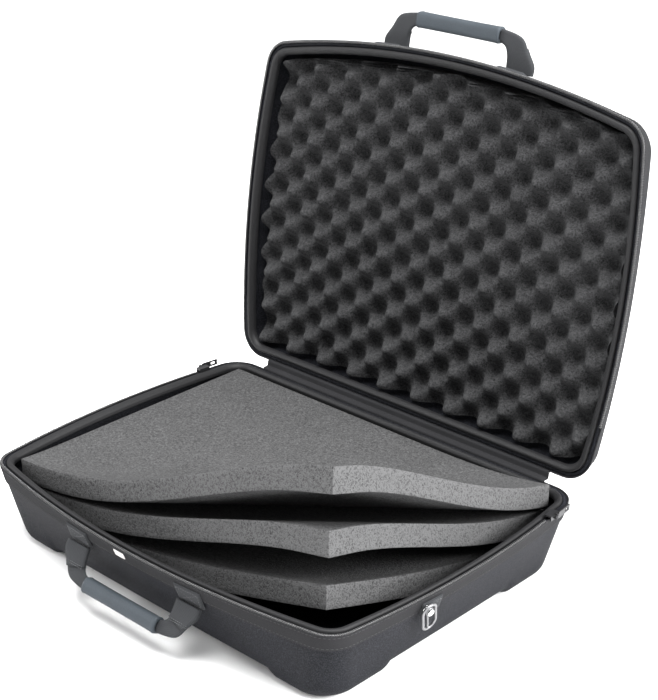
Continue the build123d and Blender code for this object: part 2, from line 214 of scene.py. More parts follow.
# shader maths
class Sock:
    # a node socket that can be used in Python sums
    def __init__(self, tree, out):
        self.tree, self.out = tree, out

    def maths(self, kind, *others):
        return self.tree.node("ShaderNodeMath", dict(operation=kind), (self,) + others)

    def __add__(self, o): return self.maths("ADD", o)
    def __radd__(self, o): return self.maths("ADD", o)
    def __sub__(self, o): return self.maths("SUBTRACT", o)
    def __rsub__(self, o): return self.tree.node("ShaderNodeMath", dict(operation="SUBTRACT"), (o, self))
    def __mul__(self, o): return self.maths("MULTIPLY", o)
    def __rmul__(self, o): return self.maths("MULTIPLY", o)
    def __truediv__(self, o): return self.maths("DIVIDE", o)
    def __rtruediv__(self, o): return self.tree.node("ShaderNodeMath", dict(operation="DIVIDE"), (o, self))
    def __neg__(self): return self.maths("MULTIPLY", -1.0)
    def __pow__(self, o): return self.maths("POWER", o)
    def __abs__(self): return self.maths("ABSOLUTE")
    def sin(self): return self.maths("SINE")
    def fract(self): return self.maths("FRACT")
    def above(self, edge, soft):
        return self.tree.node("ShaderNodeMapRange", dict(interpolation_type="SMOOTHSTEP", clamp=True),
                              {"Value": self, "From Min": edge - soft, "From Max": edge + soft})


class Finish:
    # one material with its Principled shader, and one method for every other node
    def __init__(self, name, **fixed):
        self.material = bpy.data.materials.new(name)
        self.material.use_nodes = True
        self.nodes = self.material.node_tree.nodes
        self.links = self.material.node_tree.links
        self.shader = self.nodes["Principled BSDF"]
        for key, value in fixed.items():
            self.shader.inputs[key.replace("_", " ")].default_value = value

    def node(self, kind, settings, sockets, result=0):
        made = self.nodes.new(kind)
        for key, value in settings.items():
            setattr(made, key, value)
        pairs = sockets.items() if isinstance(sockets, dict) else enumerate(sockets)
        for key, value in pairs:
            if isinstance(value, Sock):
                self.links.new(value.out, made.inputs[key])
            else:
                made.inputs[key].default_value = value
        return Sock(self, made.outputs[result])

    def at(self, scale=(1, 1, 1), turn=(0, 0, 0), flat=False):
        if flat:
            where = self.node("ShaderNodeUVMap", dict(uv_map="flat"), {})
        else:
            where = self.node("ShaderNodeTexCoord", {}, {}, "Object")
        return self.node("ShaderNodeMapping", {}, {"Vector": where, "Scale": scale, "Rotation": turn})

    def axes(self, where):
        split = self.nodes.new("ShaderNodeSeparateXYZ")
        self.links.new(where.out, split.inputs[0])
        return [Sock(self, split.outputs[i]) for i in range(3)]

    def noise(self, where, scale, detail=3.0, rough=0.55):
        return self.node("ShaderNodeTexNoise", {}, {"Vector": where, "Scale": scale,
                                                    "Detail": detail, "Roughness": rough})

    def cells(self, where, scale, feature="F1", result="Distance", scatter=1.0):
        return self.node("ShaderNodeTexVoronoi", dict(feature=feature),
                         {"Vector": where, "Scale": scale, "Randomness": scatter}, result)

    def blendColour(self, share, a, b):
        # inputs 6 and 7 of a Mix node are its two colours, and output 2 is the mixed one
        fill = {"Factor": share, 6: (*a, 1), 7: (*b, 1)}
        return self.node("ShaderNodeMix", dict(data_type="RGBA"), fill, 2)

    def colour(self, value):
        self.links.new(value.out, self.shader.inputs["Base Color"])
        return self

    def roughness(self, value):
        self.links.new(value.out, self.shader.inputs["Roughness"])
        return self

    def bump(self, height, strength, distance):
        made = self.node("ShaderNodeBump", {}, {"Height": height, "Strength": strength, "Distance": distance})
        self.links.new(made.out, self.shader.inputs["Normal"])
        return self


def shellFinish(name, dark, light, heather):
    # moulded laminate: tiny plain weave, heathered threads and broad faint unevenness
    f = Finish(name, Specular_IOR_Level=0.05, Sheen_Weight=0.0)
    here = f.at()
    x, y, z = f.axes(f.at((5200, 5200, 5200)))
    weave = (x + y).sin() * z.sin() * 0.5 + 0.5
    threads = f.noise(here, 900, 2, 0.7)
    broad = f.noise(here, 14, 3, 0.5)
    speck = (threads.above(0.55, 0.12) * heather) + broad * 0.35 - 0.1
    f.colour(f.blendColour(speck, dark, light))
    f.roughness(0.50 + broad * 0.2)
    f.bump(weave * 0.5 + threads * 0.5, 0.35, 0.0004)
    return f.material


def tapeFinish():
    # herringbone zip tape: ribs run across the band, with two woven cords near its edges
    f = Finish("zipTapeWeave", Specular_IOR_Level=0.05, Sheen_Weight=0.0)
    u, v = f.axes(f.at(flat=True))[:2]
    zigzag = abs((v * 900).fract() - 0.5) * 2.0
    ribs = ((u * 6200) + zigzag * 3.0).sin() * 0.5 + 0.5
    grain = f.noise(f.at(), 1100, 2, 0.6)
    broad = f.noise(f.at(), 22, 2, 0.5)
    shade = ribs * 0.35 + grain * 0.4 + broad * 0.25
    f.colour(f.blendColour(shade, (0.006, 0.006, 0.0065), (0.030, 0.030, 0.032)))
    f.roughness(0.7 + grain * 0.2)
    f.bump(ribs * 0.7 + grain * 0.3, 0.5, 0.0004)
    return f.material


def bindingFinish():
    # satin bias tape over a foam roll: fine lengthwise threads and slight puckers
    f = Finish("bindingSatin", Specular_IOR_Level=0.18, Sheen_Weight=0.0)
    u, v = f.axes(f.at(flat=True))[:2]
    pucker = f.noise(f.at(flat=True), 120, 2, 0.5)
    threads = (u * 4200).sin() * (v * 5200).sin() * 0.5 + 0.5
    grain = f.noise(f.at(), 700, 2, 0.6)
    f.colour(f.blendColour(grain * 0.6 + threads * 0.3, (0.005, 0.005, 0.0055), (0.018, 0.018, 0.019)))
    f.roughness(0.42 + grain * 0.18)
    f.bump(pucker * 0.6 + threads * 0.25, 0.35, 0.0008)
    return f.material


def foamFinish(name, low, high, poreScale, poreDepth, mottle, paintedSideLight=1.0):
    # open-cell foam: two sizes of pore, pale cell walls between them, faint mottling. Cut faces, whose
    # flat pattern position is 1, are painted lighter, as painted light on the sheets' sides
    f = Finish(name, Specular_IOR_Level=0.04, Sheen_Weight=0.0)
    here = f.at()
    small = f.cells(here, poreScale)
    large = f.cells(here, poreScale * 0.42)
    pores = f.noise(here, poreScale * 0.8, 2, 0.75)
    broad = f.noise(here, 16, 3, 0.5)
    wallShade = small * 0.7 + large * 0.35 + (pores - 0.5) * 1.2
    u = f.axes(f.at(flat=True))[0]
    shade = wallShade + (broad - 0.5) * mottle
    # side faces are multiplied lighter here: painted light, not a different foam colour
    f.colour(f.blendColour(shade * (u * (paintedSideLight - 1) + 1), low, high))
    f.roughness(0.9 + small * 0.1)
    f.bump(small * 0.6 + pores * 0.6 + large * 0.5, 0.7, poreDepth)
    return f.material


def webbingFinish():
    # nylon webbing: chevron ribs along the strap, each rib a row of yarns
    f = Finish("handleWebbing", Specular_IOR_Level=0.08, Sheen_Weight=0.0)
    u, v = f.axes(f.at(flat=True))[:2]
    across = abs((v * 500).fract() - 0.5) * 2.0
    yarns = ((u * 5200) + across * 2.6).sin() * 0.5 + 0.5
    grain = f.noise(f.at(), 1300, 2, 0.6)
    shade = yarns * 0.45 + across * 0.15 + grain * 0.35
    f.colour(f.blendColour(shade, (0.007, 0.0075, 0.008), (0.050, 0.052, 0.056)))
    f.roughness(0.62 + grain * 0.2)
    f.bump(yarns * 0.75 + across * 0.25, 0.4, 0.0003)
    return f.material


def gripFinish():
    # smooth wrapped cover with a fine pebble and soft creases
    f = Finish("gripWrap", Specular_IOR_Level=0.14)
    here = f.at()
    pebble = f.cells(here, 1500)
    crease = f.noise(f.at((1, 3, 3)), 45, 3, 0.6)
    f.colour(f.blendColour(pebble * 0.5 + crease * 0.5, (0.018, 0.023, 0.028), (0.048, 0.056, 0.064)))
    f.roughness(0.46 + crease * 0.2)
    f.bump(pebble * 0.4 + crease * 0.8, 0.35, 0.0006)
    return f.material


def metalFinish(name, dark, light, rough, metallic, scratch):
    # cast or pressed metal: faint scuffs in colour and roughness
    f = Finish(name, Metallic=metallic)
    here = f.at()
    scuff = f.noise(f.at((1, 1, 6)), scratch, 4, 0.7)
    broad = f.noise(here, 180, 2, 0.5)
    f.colour(f.blendColour(scuff * 0.6 + broad * 0.4, dark, light))
    f.roughness(rough + scuff * 0.22)
    f.bump(scuff, 0.12, 0.0002)
    return f.material


def threadFinish(name, dark, light):
    f = Finish(name, Specular_IOR_Level=0.4)
    twist = f.noise(f.at(), 2600, 1, 0.5)
    f.colour(f.blendColour(twist, dark, light)).roughness(0.55 + twist * 0.2).bump(twist, 0.3, 0.0002)
    return f.material


baseCloth = shellFinish("baseLaminate", (0.0040, 0.0042, 0.0052), (0.024, 0.025, 0.030), 0.75)
lidCloth = shellFinish("lidLaminate", (0.0040, 0.0042, 0.0052), (0.024, 0.025, 0.030), 0.75)
tapeCloth = tapeFinish()
satin = bindingFinish()
# the sheets' side faces are painted 1.6 times lighter, painted light
sheetFoam = foamFinish("sheetFoam", (0.016, 0.016, 0.0163), (0.074, 0.074, 0.0750), 620, 0.0009, 0.25, 1.6)
crateFoam = foamFinish("crateFoam", (0.0060, 0.0061, 0.0065), (0.046, 0.0463, 0.0475), 620, 0.0009, 0.3)
webbing = webbingFinish()
wrap = gripFinish()
coil = metalFinish("zipCoil", (0.035, 0.035, 0.036), (0.090, 0.090, 0.092), 0.15, 0.5, 900)
paint = metalFinish("sliderPaint", (0.012, 0.012, 0.013), (0.045, 0.045, 0.048), 0.28, 0.6, 500)
bright = metalFinish("rivetBright", (0.62, 0.62, 0.63), (0.90, 0.90, 0.90), 0.10, 1.0, 600)
cast = metalFinish("ringCast", (0.10, 0.10, 0.105), (0.22, 0.22, 0.225), 0.30, 0.9, 420)
darkThread = threadFinish("darkThread", (0.006, 0.006, 0.0065), (0.018, 0.018, 0.019))
paleThread = threadFinish("paleThread", (0.030, 0.031, 0.033), (0.080, 0.082, 0.086))
plainLabel = threadFinish("plainLabel", (0.42, 0.40, 0.39), (0.62, 0.60, 0.59))
print("materials ready")


# outline of the shells
def outlineLoops(width, depth, front, side, radius, backFrom=0.0, counts=(30, 14, 60, 90)):
    # one loop for each level, anticlockwise from the middle of the straight back: the bowed walls are
    # circles of radius ((chord/2)^2 + bow^2) / (2 bow), and each corner is an arc tangent to its walls
    width, depth, front, side, radius = np.broadcast_arrays(width, depth, front, side, radius)
    rf = (width ** 2 / 4 + front ** 2) / (2 * front)
    rs = (depth ** 2 / 4 + side ** 2) / (2 * side)
    fy = rf - depth / 2 - front
    sx = width / 2 + side - rs
    a = rf - radius
    b = rs - radius
    gap = np.hypot(sx, fy)
    along = (a ** 2 - b ** 2 + gap ** 2) / (2 * gap)
    off = np.sqrt(a ** 2 - along ** 2)
    cfx = along * sx / gap + off * fy / gap
    cfy = fy - along * fy / gap + off * sx / gap
    cby = depth / 2 - radius
    cbx = sx + np.sqrt(b ** 2 - cby ** 2)
    tf = np.arctan2(cfy - fy, cfx)
    ts = np.arctan2(cfy, cfx - sx)
    tb = np.arctan2(cby, cbx - sx)
    nBack, nCorner, nSide, nFront = counts
    full = 2 * math.pi
    half = math.pi

    def arc(x, y, r, a0, a1, n):
        t = a0[:, None] + (a1 - a0)[:, None] * np.arange(n) / n
        return np.stack([x[:, None] + r[:, None] * np.cos(t), y[:, None] + r[:, None] * np.sin(t)], -1)

    def line(x0, x1, n, end):
        t = np.arange(n + (1 if end else 0)) / n
        x = x0[:, None] + (x1 - x0)[:, None] * t
        return np.stack([x, np.broadcast_to(depth[:, None] / 2, x.shape)], -1)

    zero = np.zeros_like(cbx)
    start = zero + backFrom
    pieces = [
        line(-start, -cbx, nBack, False),
        arc(-cbx, cby, radius, zero + half / 2, half - tb, nCorner),
        arc(-sx, zero, rs, half - tb, half - ts, nSide),
        arc(-cfx, cfy, radius, half - ts, half - tf, nCorner),
        arc(zero, fy, rf, half - tf, full + tf, nFront),
        arc(cfx, cfy, radius, full + tf, full + ts, nCorner),
        arc(sx, zero, rs, full + ts, full + tb, nSide),
        arc(cbx, cby, radius, full + tb, full + half / 2, nCorner),
        line(cbx, start, nBack, backFrom > 0),
    ]
    return np.concatenate(pieces, 1)


def raised(loops, z):
    high = np.broadcast_to(np.asarray(z, float)[:, None, None], loops.shape[:2] + (1,))
    return np.concatenate([loops, high], -1)


def baseLoops(z, grow, **more):
    c = shell
    t = np.asarray(z, float) / c["height"]
    grow = np.asarray(grow, float)
    loops = outlineLoops(mix(c["floorWidth"], c["rimWidth"], t) + 2 * grow,
                         mix(c["floorDepth"], c["rimDepth"], t) + 2 * grow,
                         c["frontBow"] * np.maximum(t, 0) + 1e-5, c["sideBow"] * np.maximum(t, 0) + 1e-5,
                         mix(c["floorRadius"], c["rimRadius"], t) + grow, **more)
    return raised(loops, z)


def lidLoops(z, grow, **more):
    c = shell
    t = (np.asarray(z, float) - c["height"]) / c["lidHeight"]
    grow = np.asarray(grow, float)
    loops = outlineLoops(mix(c["rimWidth"], c["lidWidth"], t) + 2 * grow,
                         mix(c["rimDepth"], c["lidDepth"], t) + 2 * grow,
                         mix(c["frontBow"], c["lidFrontBow"], t), mix(c["sideBow"], c["lidSideBow"], t),
                         c["rimRadius"] + grow, **more)
    return raised(loops, z)


def loopLength(loops):
    # distance along each loop from its first point
    step = np.linalg.norm(np.diff(loops, axis=1), axis=-1)
    return np.concatenate([np.zeros((len(loops), 1)), np.cumsum(step, 1)], 1)


def evenPoints(line, spacing, first=0.0):
    # points a fixed distance apart along a dense line, with the direction of the line at each
    run = runAlong(line)
    count = int((run[-1] - 2 * first) / spacing)
    where = first + (run[-1] - 2 * first - count * spacing) / 2 + np.arange(count + 1) * spacing
    points = np.stack([np.interp(where, run, line[:, i]) for i in range(3)], -1)
    ahead = np.stack([np.interp(where + 1e-4, run, line[:, i]) for i in range(3)], -1)
    behind = np.stack([np.interp(where - 1e-4, run, line[:, i]) for i in range(3)], -1)
    return points, unit(ahead - behind)


def shellRows(floorZ, topZ, floorGrowRound, wallRows):
    # profile of one wall from its closed end to its open end: (height, growth) of the rounded edge,
    # height R(1 - cos a) and growth -R(1 - sin a), then the wall
    a = np.linspace(0, math.pi / 2, 8)
    z = floorZ + floorGrowRound * (1 - np.cos(a))
    grow = -floorGrowRound * (1 - np.sin(a))
    up = np.linspace(z[-1], topZ, wallRows + 1)[1:]
    return np.concatenate([z, up]), np.concatenate([grow, np.zeros(wallRows)])


def makeBaseShell():
    c = shell
    rim = c["height"] - c["rimDrop"]
    parts = Parts()
    z, grow = shellRows(0.0, rim - c["rimEase"], c["bottomRound"], 12)
    z = np.append(z, rim)
    grow = np.append(grow, -c["rimEase"])
    outer = baseLoops(z, grow)
    outer = np.concatenate([shrunk(outer[:1], np.linspace(0, 1, 26)[:-1]), outer])
    # between the feet the edge of the underside is raised, and the raise fades out up the wall
    x = np.abs(outer[..., 0])
    y = np.abs(outer[..., 1])
    soft = 0.009
    between = np.maximum(smooth((c["footX"] - x) / soft + 0.5) * smooth((y - c["reliefY"]) / soft + 0.5),
                         smooth((c["footY"] - y) / soft + 0.5) * smooth((x - c["reliefX"]) / soft + 0.5))
    outer[..., 2] += c["footHeight"] * between * (1 - smooth(outer[..., 2] / 0.034))
    zi, growi = shellRows(c["floorTop"], rim - c["rimEase"], c["innerRound"], 8)
    inner = baseLoops(np.append(zi, rim), np.append(growi - c["wall"], -c["wall"] + c["rimEase"]))[::-1]
    floor = shrunk(inner[-1:], np.linspace(1, 0, 8)[1:])
    parts.grid(np.concatenate([outer, inner, floor]), closeCols=True)
    piece = parts.build("baseMouldedShell")
    softenEdges(piece, 60)
    return place(piece, "base", baseCloth, ["base_shell"])


def makeLidShell():
    c = shell
    rim = c["height"] + c["rimDrop"]
    top = c["height"] + c["lidHeight"]
    z, grow = shellRows(0.0, top - rim - c["rimEase"], c["bottomRound"], 6)
    z = np.append(z, top - rim)
    grow = np.append(grow, -c["rimEase"])
    outer = lidLoops(top - z, grow)
    shares = np.linspace(0, 1, 12)[:-1]
    under = shrunk(outer[:1], shares)
    # the panel is very slightly crowned, which keeps its middle off a table
    crown = c["crown"] * (1 - shares ** 2)
    under[..., 2] -= c["crown"] - crown[:, None]
    zi, growi = shellRows(0.0, top - rim - c["wall"] - c["rimEase"], c["bottomRound"] - c["wall"], 5)
    zi = np.append(zi, top - rim - c["wall"])
    growi = np.append(growi - c["wall"], -c["wall"] + c["rimEase"])
    inner = lidLoops(top - c["wall"] - zi, growi)[::-1]
    ceiling = shrunk(inner[-1:], np.linspace(1, 0, 8)[1:])
    ceiling[..., 2] -= c["crown"]
    parts = Parts().grid(opened(np.concatenate([under, outer, inner, ceiling])), closeCols=True)
    piece = parts.build("lidMouldedShell")
    softenEdges(piece, 60)
    return place(piece, "lid", lidCloth, ["lid_shell"])


makeBaseShell()
makeLidShell()

# zip tape, chain and binding
tape = dict(out=0.0013, inside=0.0001, height=0.018, end=0.002, backFrom=0.200, round=0.0005,
            stitchPitch=0.0042, stitchLength=0.0028, stitchRadius=0.00030, rows=(0.0026, 0.0158))


def bandProfile(z0, z1, inside, out, edge):
    # closed rounded rectangle in (height, growth), edges turned by a small radius
    a = np.linspace(0, math.pi / 2, 4)
    corner = [(z1 - edge, out - edge, 0), (z1 - edge, inside + edge, 1),
              (z0 + edge, inside + edge, 2), (z0 + edge, out - edge, 3)]
    z, grow = [], []
    for cz, cg, quarter in corner:
        t = a + quarter * math.pi / 2
        z.append(cz + edge * np.sin(t))
        grow.append(cg + edge * np.cos(t))
    fill = np.linspace(z0 + edge, z1 - edge, 8)[1:-1]
    z.append(fill)
    grow.append(np.full(len(fill), out))
    return np.concatenate(z), np.concatenate(grow)


def makeBand(name, loops, z0, z1, inside, out, edge, backFrom, move):
    z, grow = bandProfile(z0, z1, inside, out, edge)
    points = loops(z, grow, backFrom=backFrom)
    length = loopLength(points)
    flat = np.stack([length, np.broadcast_to(z[:, None], length.shape)], -1)
    parts = Parts().grid(move(points), closeRows=True, flat=flat)
    for end in (0, -1):
        parts.grid(move(capRows(points[:, end], 0.5)), closeCols=True)
    return parts.build(name)


def capsule(sides=5, rings=4):
    # unit stitch along X: a tube whose radius follows a half circle towards each end
    t = np.linspace(-1, 1, rings + 2)
    r = np.sqrt(np.maximum(1 - t ** 4, 0)) + 0.02
    a = np.arange(sides) / sides * 2 * math.pi
    points = np.stack([np.broadcast_to(t[:, None], (rings + 2, sides)),
                       r[:, None] * np.cos(a), r[:, None] * np.sin(a)], -1)
    return points.reshape(-1, 3), gridFaces(rings + 2, sides, False, True)


def stitches(name, points, along, out, length, radius, body, material):
    # each stitch is a capsule lying along the seam, half sunk in the cloth
    base, faces = capsule()
    side = unit(np.cross(out, along))
    shaped = (points[:, None] + base[None, :, :1] * along[:, None] * length / 2
              + base[None, :, 1:2] * out[:, None] * radius + base[None, :, 2:] * side[:, None] * radius)
    piece = Parts().copies(shaped, faces).build(name, weld=0, outward=True)
    return place(piece, body, material)


def seamRun(loops, z, grow, backFrom, spacing, first=0.006):
    line = loops(np.array([z]), np.array([grow]), backFrom=backFrom)[0]
    points, along = evenPoints(line, spacing, first)
    out = unit(np.cross(along, upward))
    return points, along, out


def makeTape(name, loops, low, body, move, nodes):
    t = tape
    piece = makeBand(name, loops, low, low + t["height"], t["inside"], t["out"], t["round"],
                     t["backFrom"], move)
    place(piece, body, tapeCloth, nodes)
    for i, row in enumerate(t["rows"]):
        points, along, out = seamRun(loops, low + row, t["out"], t["backFrom"], t["stitchPitch"])
        ends = move(points + along)
        tips = move(points + out)
        moved = move(points)
        stitches(f"{name}Stitches{i + 1}", moved, ends - moved, tips - moved,
                 t["stitchLength"], t["stitchRadius"], body, darkThread)


rimZ = shell["height"]
makeTape("baseZipTape", baseLoops, rimZ - tape["end"] - tape["height"], "base", same, ["base_zip_tape"])
makeTape("lidZipTape", lidLoops, rimZ + tape["end"], "lid", opened, ["lid_zip_tape"])

# half a coil zip: one bent loop of wire for each turn, over a woven cord
chain = dict(pitch=0.0024, wire=0.00046, width=0.0034, low=0.0031, high=0.0002, backEnd=0.114, outAt=0.0006)


def makeChain(name, loops, towards, body, move, nodes):
    # a turn is a wire carried along a D in the plane across the rim: out, over the top and back in
    c = chain
    z0 = rimZ - towards * c["low"]
    z1 = rimZ - towards * c["high"]
    line = loops(np.array([rimZ]), np.array([c["outAt"]]), counts=(60, 30, 240, 300))[0]
    line = line[line[:, 1] < c["backEnd"]]
    points, along = evenPoints(line, c["pitch"])
    out = unit(np.cross(along, upward))
    up = upward * towards
    t = np.linspace(-0.25 * math.pi, 1.25 * math.pi, 9)
    halfWidth = c["width"] / 2 - c["wire"]
    halfHigh = abs(z1 - z0) / 2 - c["wire"]
    pathOut = -c["width"] / 2 + halfWidth * np.cos(t)
    pathUp = -abs(z1 - z0) / 2 - c["high"] + halfHigh * np.sin(t)
    lean = np.linspace(-0.30, 0.30, len(t)) * c["pitch"]
    sides = 6
    a = np.arange(sides) / sides * 2 * math.pi
    normalOut = np.cos(t)
    normalUp = np.sin(t)
    wire = c["wire"] * np.ones(len(t))
    wire[0] = wire[-1] = c["wire"] * 0.35
    along3 = lean[:, None] + wire[:, None] * 1.25 * np.cos(a)
    out3 = pathOut[:, None] + wire[:, None] * np.sin(a) * normalOut[:, None]
    up3 = pathUp[:, None] + wire[:, None] * np.sin(a) * normalUp[:, None]
    shaped = (points[:, None] + along3.reshape(-1)[None, :, None] * along[:, None]
              + out3.reshape(-1)[None, :, None] * out[:, None] + up3.reshape(-1)[None, :, None] * up)
    parts = Parts().copies(shaped, gridFaces(len(t), sides, False, True))
    # the woven cord inside the turns
    n = 8
    b = np.arange(n) / n * 2 * math.pi
    core = (line[None] + (-c["width"] / 2 + halfWidth * 0.8 * np.cos(b))[:, None, None]
            * unit(np.cross(np.gradient(line, axis=0), upward))[None]
            + (-abs(z1 - z0) / 2 - c["high"] + halfHigh * 0.55 * np.sin(b))[:, None, None] * up)
    parts.grid(core, closeRows=True)
    piece = parts.carry(move).build(name, weld=0)
    return place(piece, body, coil, nodes)


makeChain("baseZipCoil", baseLoops, 1, "base", same, ["base_zip_chain"])
makeChain("lidZipCoil", lidLoops, -1, "lid", opened, ["lid_zip_chain"])

roll = dict(width=0.0066, depth=0.0086, drop=0.0006, inset=0.0043, corner=2.6, seam=0.0007)


def makeBinding(name, loops, towards, body, move, nodes):
    # padded roll: a closed superellipse in (height, growth) with a shallow seam near its foot
    r = roll
    t = np.arange(36) / 36 * 2 * math.pi
    c = np.cos(t)
    s = np.sin(t)
    power = 2 / r["corner"]
    high = np.sign(s) * np.abs(s) ** power
    wide = np.sign(c) * np.abs(c) ** power
    pinch = 1 - 0.16 * np.exp(-((high + 0.35) / 0.10) ** 2)
    narrow = 1 - 0.18 * smooth((high - 0.1) / 0.9)
    grow = -r["inset"] - r["width"] / 2 + wide * r["width"] / 2 * narrow * pinch
    z = rimZ - towards * (r["drop"] + r["depth"] / 2 - high * r["depth"] / 2)
    points = loops(z, grow)
    length = loopLength(points)
    flat = np.stack([length, np.broadcast_to((t * 0.004)[:, None], length.shape)], -1)
    piece = Parts().grid(move(points), closeRows=True, closeCols=True, flat=flat).build(name)
    return place(piece, body, satin, nodes)


makeBinding("baseBindingRoll", baseLoops, 1, "base", same, ["base_binding"])
makeBinding("lidBindingRoll", lidLoops, -1, "lid", opened, ["lid_binding"])

# hinge tape, one strip over both halves
hingeTape = dict(half=0.1996, low=0.070, high=0.106, thickness=0.0012, wallOff=0.0007, bend=0.0011,
                 round=0.0014, fromRim=0.0008, pastHinge=0.0004)


def roundedPath(points, radius, samples=7):
    # straight runs in (y, z) joined by short quadratic curves through each corner
    p = np.asarray(points, float)
    out = [p[:1]]
    for a, b, c in zip(p[:-2], p[1:-1], p[2:]):
        start = b + unit(a - b) * radius
        end = b + unit(c - b) * radius
        t = np.linspace(0, 1, samples)[:, None]
        out.append((1 - t) ** 2 * start + 2 * t * (1 - t) * b + t ** 2 * end)
    out.append(p[-1:])
    p = np.concatenate(out)
    run = runAlong(p)
    even = np.linspace(0, run[-1], 64)
    return np.stack([np.interp(even, run, p[:, k]) for k in range(2)], -1)


def makeHingeTape():
    # one strip, drawn at rest: up the back wall, out to the hinge line, up to the lid's rim and back
    # along the lid's wall
    h = hingeTape
    back = shell["rimDepth"] / 2 + h["wallOff"]
    slope = (shell["rimDepth"] - shell["floorDepth"]) / 2 / rimZ
    lidSlope = (shell["rimDepth"] - shell["lidDepth"]) / 2 / shell["lidHeight"]

    def lidPoint(y, z):
        return turned(np.array([0, y, z]), openTurn, hingeAt)[1:]

    t = h["thickness"]
    path = roundedPath([
        (back - (rimZ - h["low"]) * slope, h["low"]),
        (back, rimZ - h["fromRim"]),
        (hingeAt[1] + h["pastHinge"], rimZ - h["fromRim"]),
        lidPoint(back, rimZ + h["fromRim"]),
        lidPoint(back - (h["high"] - rimZ) * lidSlope, h["high"])], h["round"])
    along = unit(np.gradient(path, axis=0))
    normal = np.stack([along[:, 1], -along[:, 0]], -1)
    faces = np.concatenate([path + normal * t / 2, (path - normal * t / 2)[::-1]])
    x = np.linspace(-h["half"], h["half"], 90)
    rest = np.empty((len(faces), len(x), 3))
    rest[..., 0] = x
    rest[..., 1:] = faces[:, None]
    run = runAlong(faces)
    flat = np.stack(np.broadcast_arrays(x, run[:, None]), -1)
    parts = Parts().grid(rest, closeRows=True, flat=flat)
    n = len(path)
    for col in (0, -1):
        parts.grid(np.stack([rest[:n, col], rest[n:, col][::-1]]))
    piece = parts.build("hingeTape")
    place(piece, None, tapeCloth, ["base_hinge_tape", "lid_hinge_tape"])
    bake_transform(piece)


makeHingeTape()

# loose foam sheets
foamSheet = dict(cell=0.0055, edge=0.0007, steps=40, reach=dict(bottom=0.380, middle=0.300, top=0.300))


def slabFaces(xs, ys, zs, e):
    # the six faces of a slab as grids, each outermost point pulled in to a radius e round the edges
    lows = np.array([xs[0], ys[0], zs[0]])
    highs = np.array([xs[-1], ys[-1], zs[-1]])
    gx, gy = np.meshgrid(xs, ys, indexing="ij")
    faces = [np.stack([gx, gy, np.full_like(gx, z)], -1) for z in (zs[0], zs[-1])]
    gx, gz = np.meshgrid(xs, zs, indexing="ij")
    faces += [np.stack([gx, np.full_like(gx, y), gz], -1) for y in (ys[0], ys[-1])]
    gy, gz = np.meshgrid(ys, zs, indexing="ij")
    faces += [np.stack([np.full_like(gy, x), gy, gz], -1) for x in (xs[0], xs[-1])]
    out = []
    for p in faces:
        core = np.clip(p, lows + e, highs - e)
        out.append(core + unit(p - core) * np.minimum(np.linalg.norm(p - core, axis=-1, keepdims=True), e))
    return out


def spread(low, high, edge, n):
    return np.concatenate([[low], np.linspace(low + edge, high - edge, n), [high]])


def makeFloorPad():
    low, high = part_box("base_floor_pad")
    e = 0.001
    parts = Parts()
    spans = [spread(a, b, e, n) for a, b, n in zip(low, high, (60, 44, 2))]
    for face in slabFaces(*spans, e):
        parts.grid(face)
    piece = parts.build("floorLiningPad", weld=2e-5)
    softenEdges(piece, 50)
    return place(piece, "base", baseCloth, ["base_floor_pad"])


makeFloorPad()


def makeSheet(level):
    # flat slab turned up beyond its bend line: a point at distance d out from the line and h above the top
    # face goes to d cos - h sin, d sin + h cos, with the angle w times the peel of that corner
    s = foamSheet
    name = level + "_sheet"
    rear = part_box(name)
    joint = joints[name + "_corner_bend"]
    peel = -math.radians(joint["range_deg"][0])
    at = np.array(joint["pos_m"])
    along = -np.array(joint["axis"])
    out = np.array([along[1], -along[0], 0])
    halfX = max(-rear[0].x, 0.0)
    halfY = rear[1].y
    low = rear[0].z
    high = rear[1].z
    nx = int(2 * halfX / s["cell"])
    ny = int(2 * halfY / s["cell"])
    e = s["edge"]
    xs = spread(-halfX, halfX, e, nx)
    ys = spread(-halfY, halfY, e, ny)
    zs = spread(low, high, e, 6)
    reach = s["reach"][level]
    parts = Parts()
    for k, p in enumerate(slabFaces(xs, ys, zs, e)):
        rel = p - at
        d = rel @ out
        h = rel[..., 2]
        run = rel @ along
        w = smooth(d / reach)
        for step in range(s["steps"]):
            dRest = d * np.cos(w * peel) - h * np.sin(w * peel)
            w = smooth(dRest / reach)
        dRest = d * np.cos(w * peel) - h * np.sin(w * peel)
        hRest = d * np.sin(w * peel) + h * np.cos(w * peel)
        rest = at + run[..., None] * along + dRest[..., None] * out + hRest[..., None] * upward
        # flat position 1 marks the side faces, which the foam finish paints lighter as painted light
        parts.grid(rest, flat=np.full(rest.shape[:2] + (2,), float(k > 1)))
    piece = parts.build(level + "FoamSheet", weld=2e-5)
    softenEdges(piece, 50)
    place(piece, None, sheetFoam, [name, name + "_corner"])
    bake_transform(piece)
    return piece


for level in ("bottom", "middle", "top"):
    makeSheet(level)

# egg-crate foam in the lid
crate = dict(pitchX=0.0462, pitchY=0.0394, rise=0.0245, firstX=0.0125, firstY=0.026, side=0.0128, sharp=1.15,
             backGap=0.0003, tipAt=0.0027, outlineAt=0.012, squeeze=0.994)


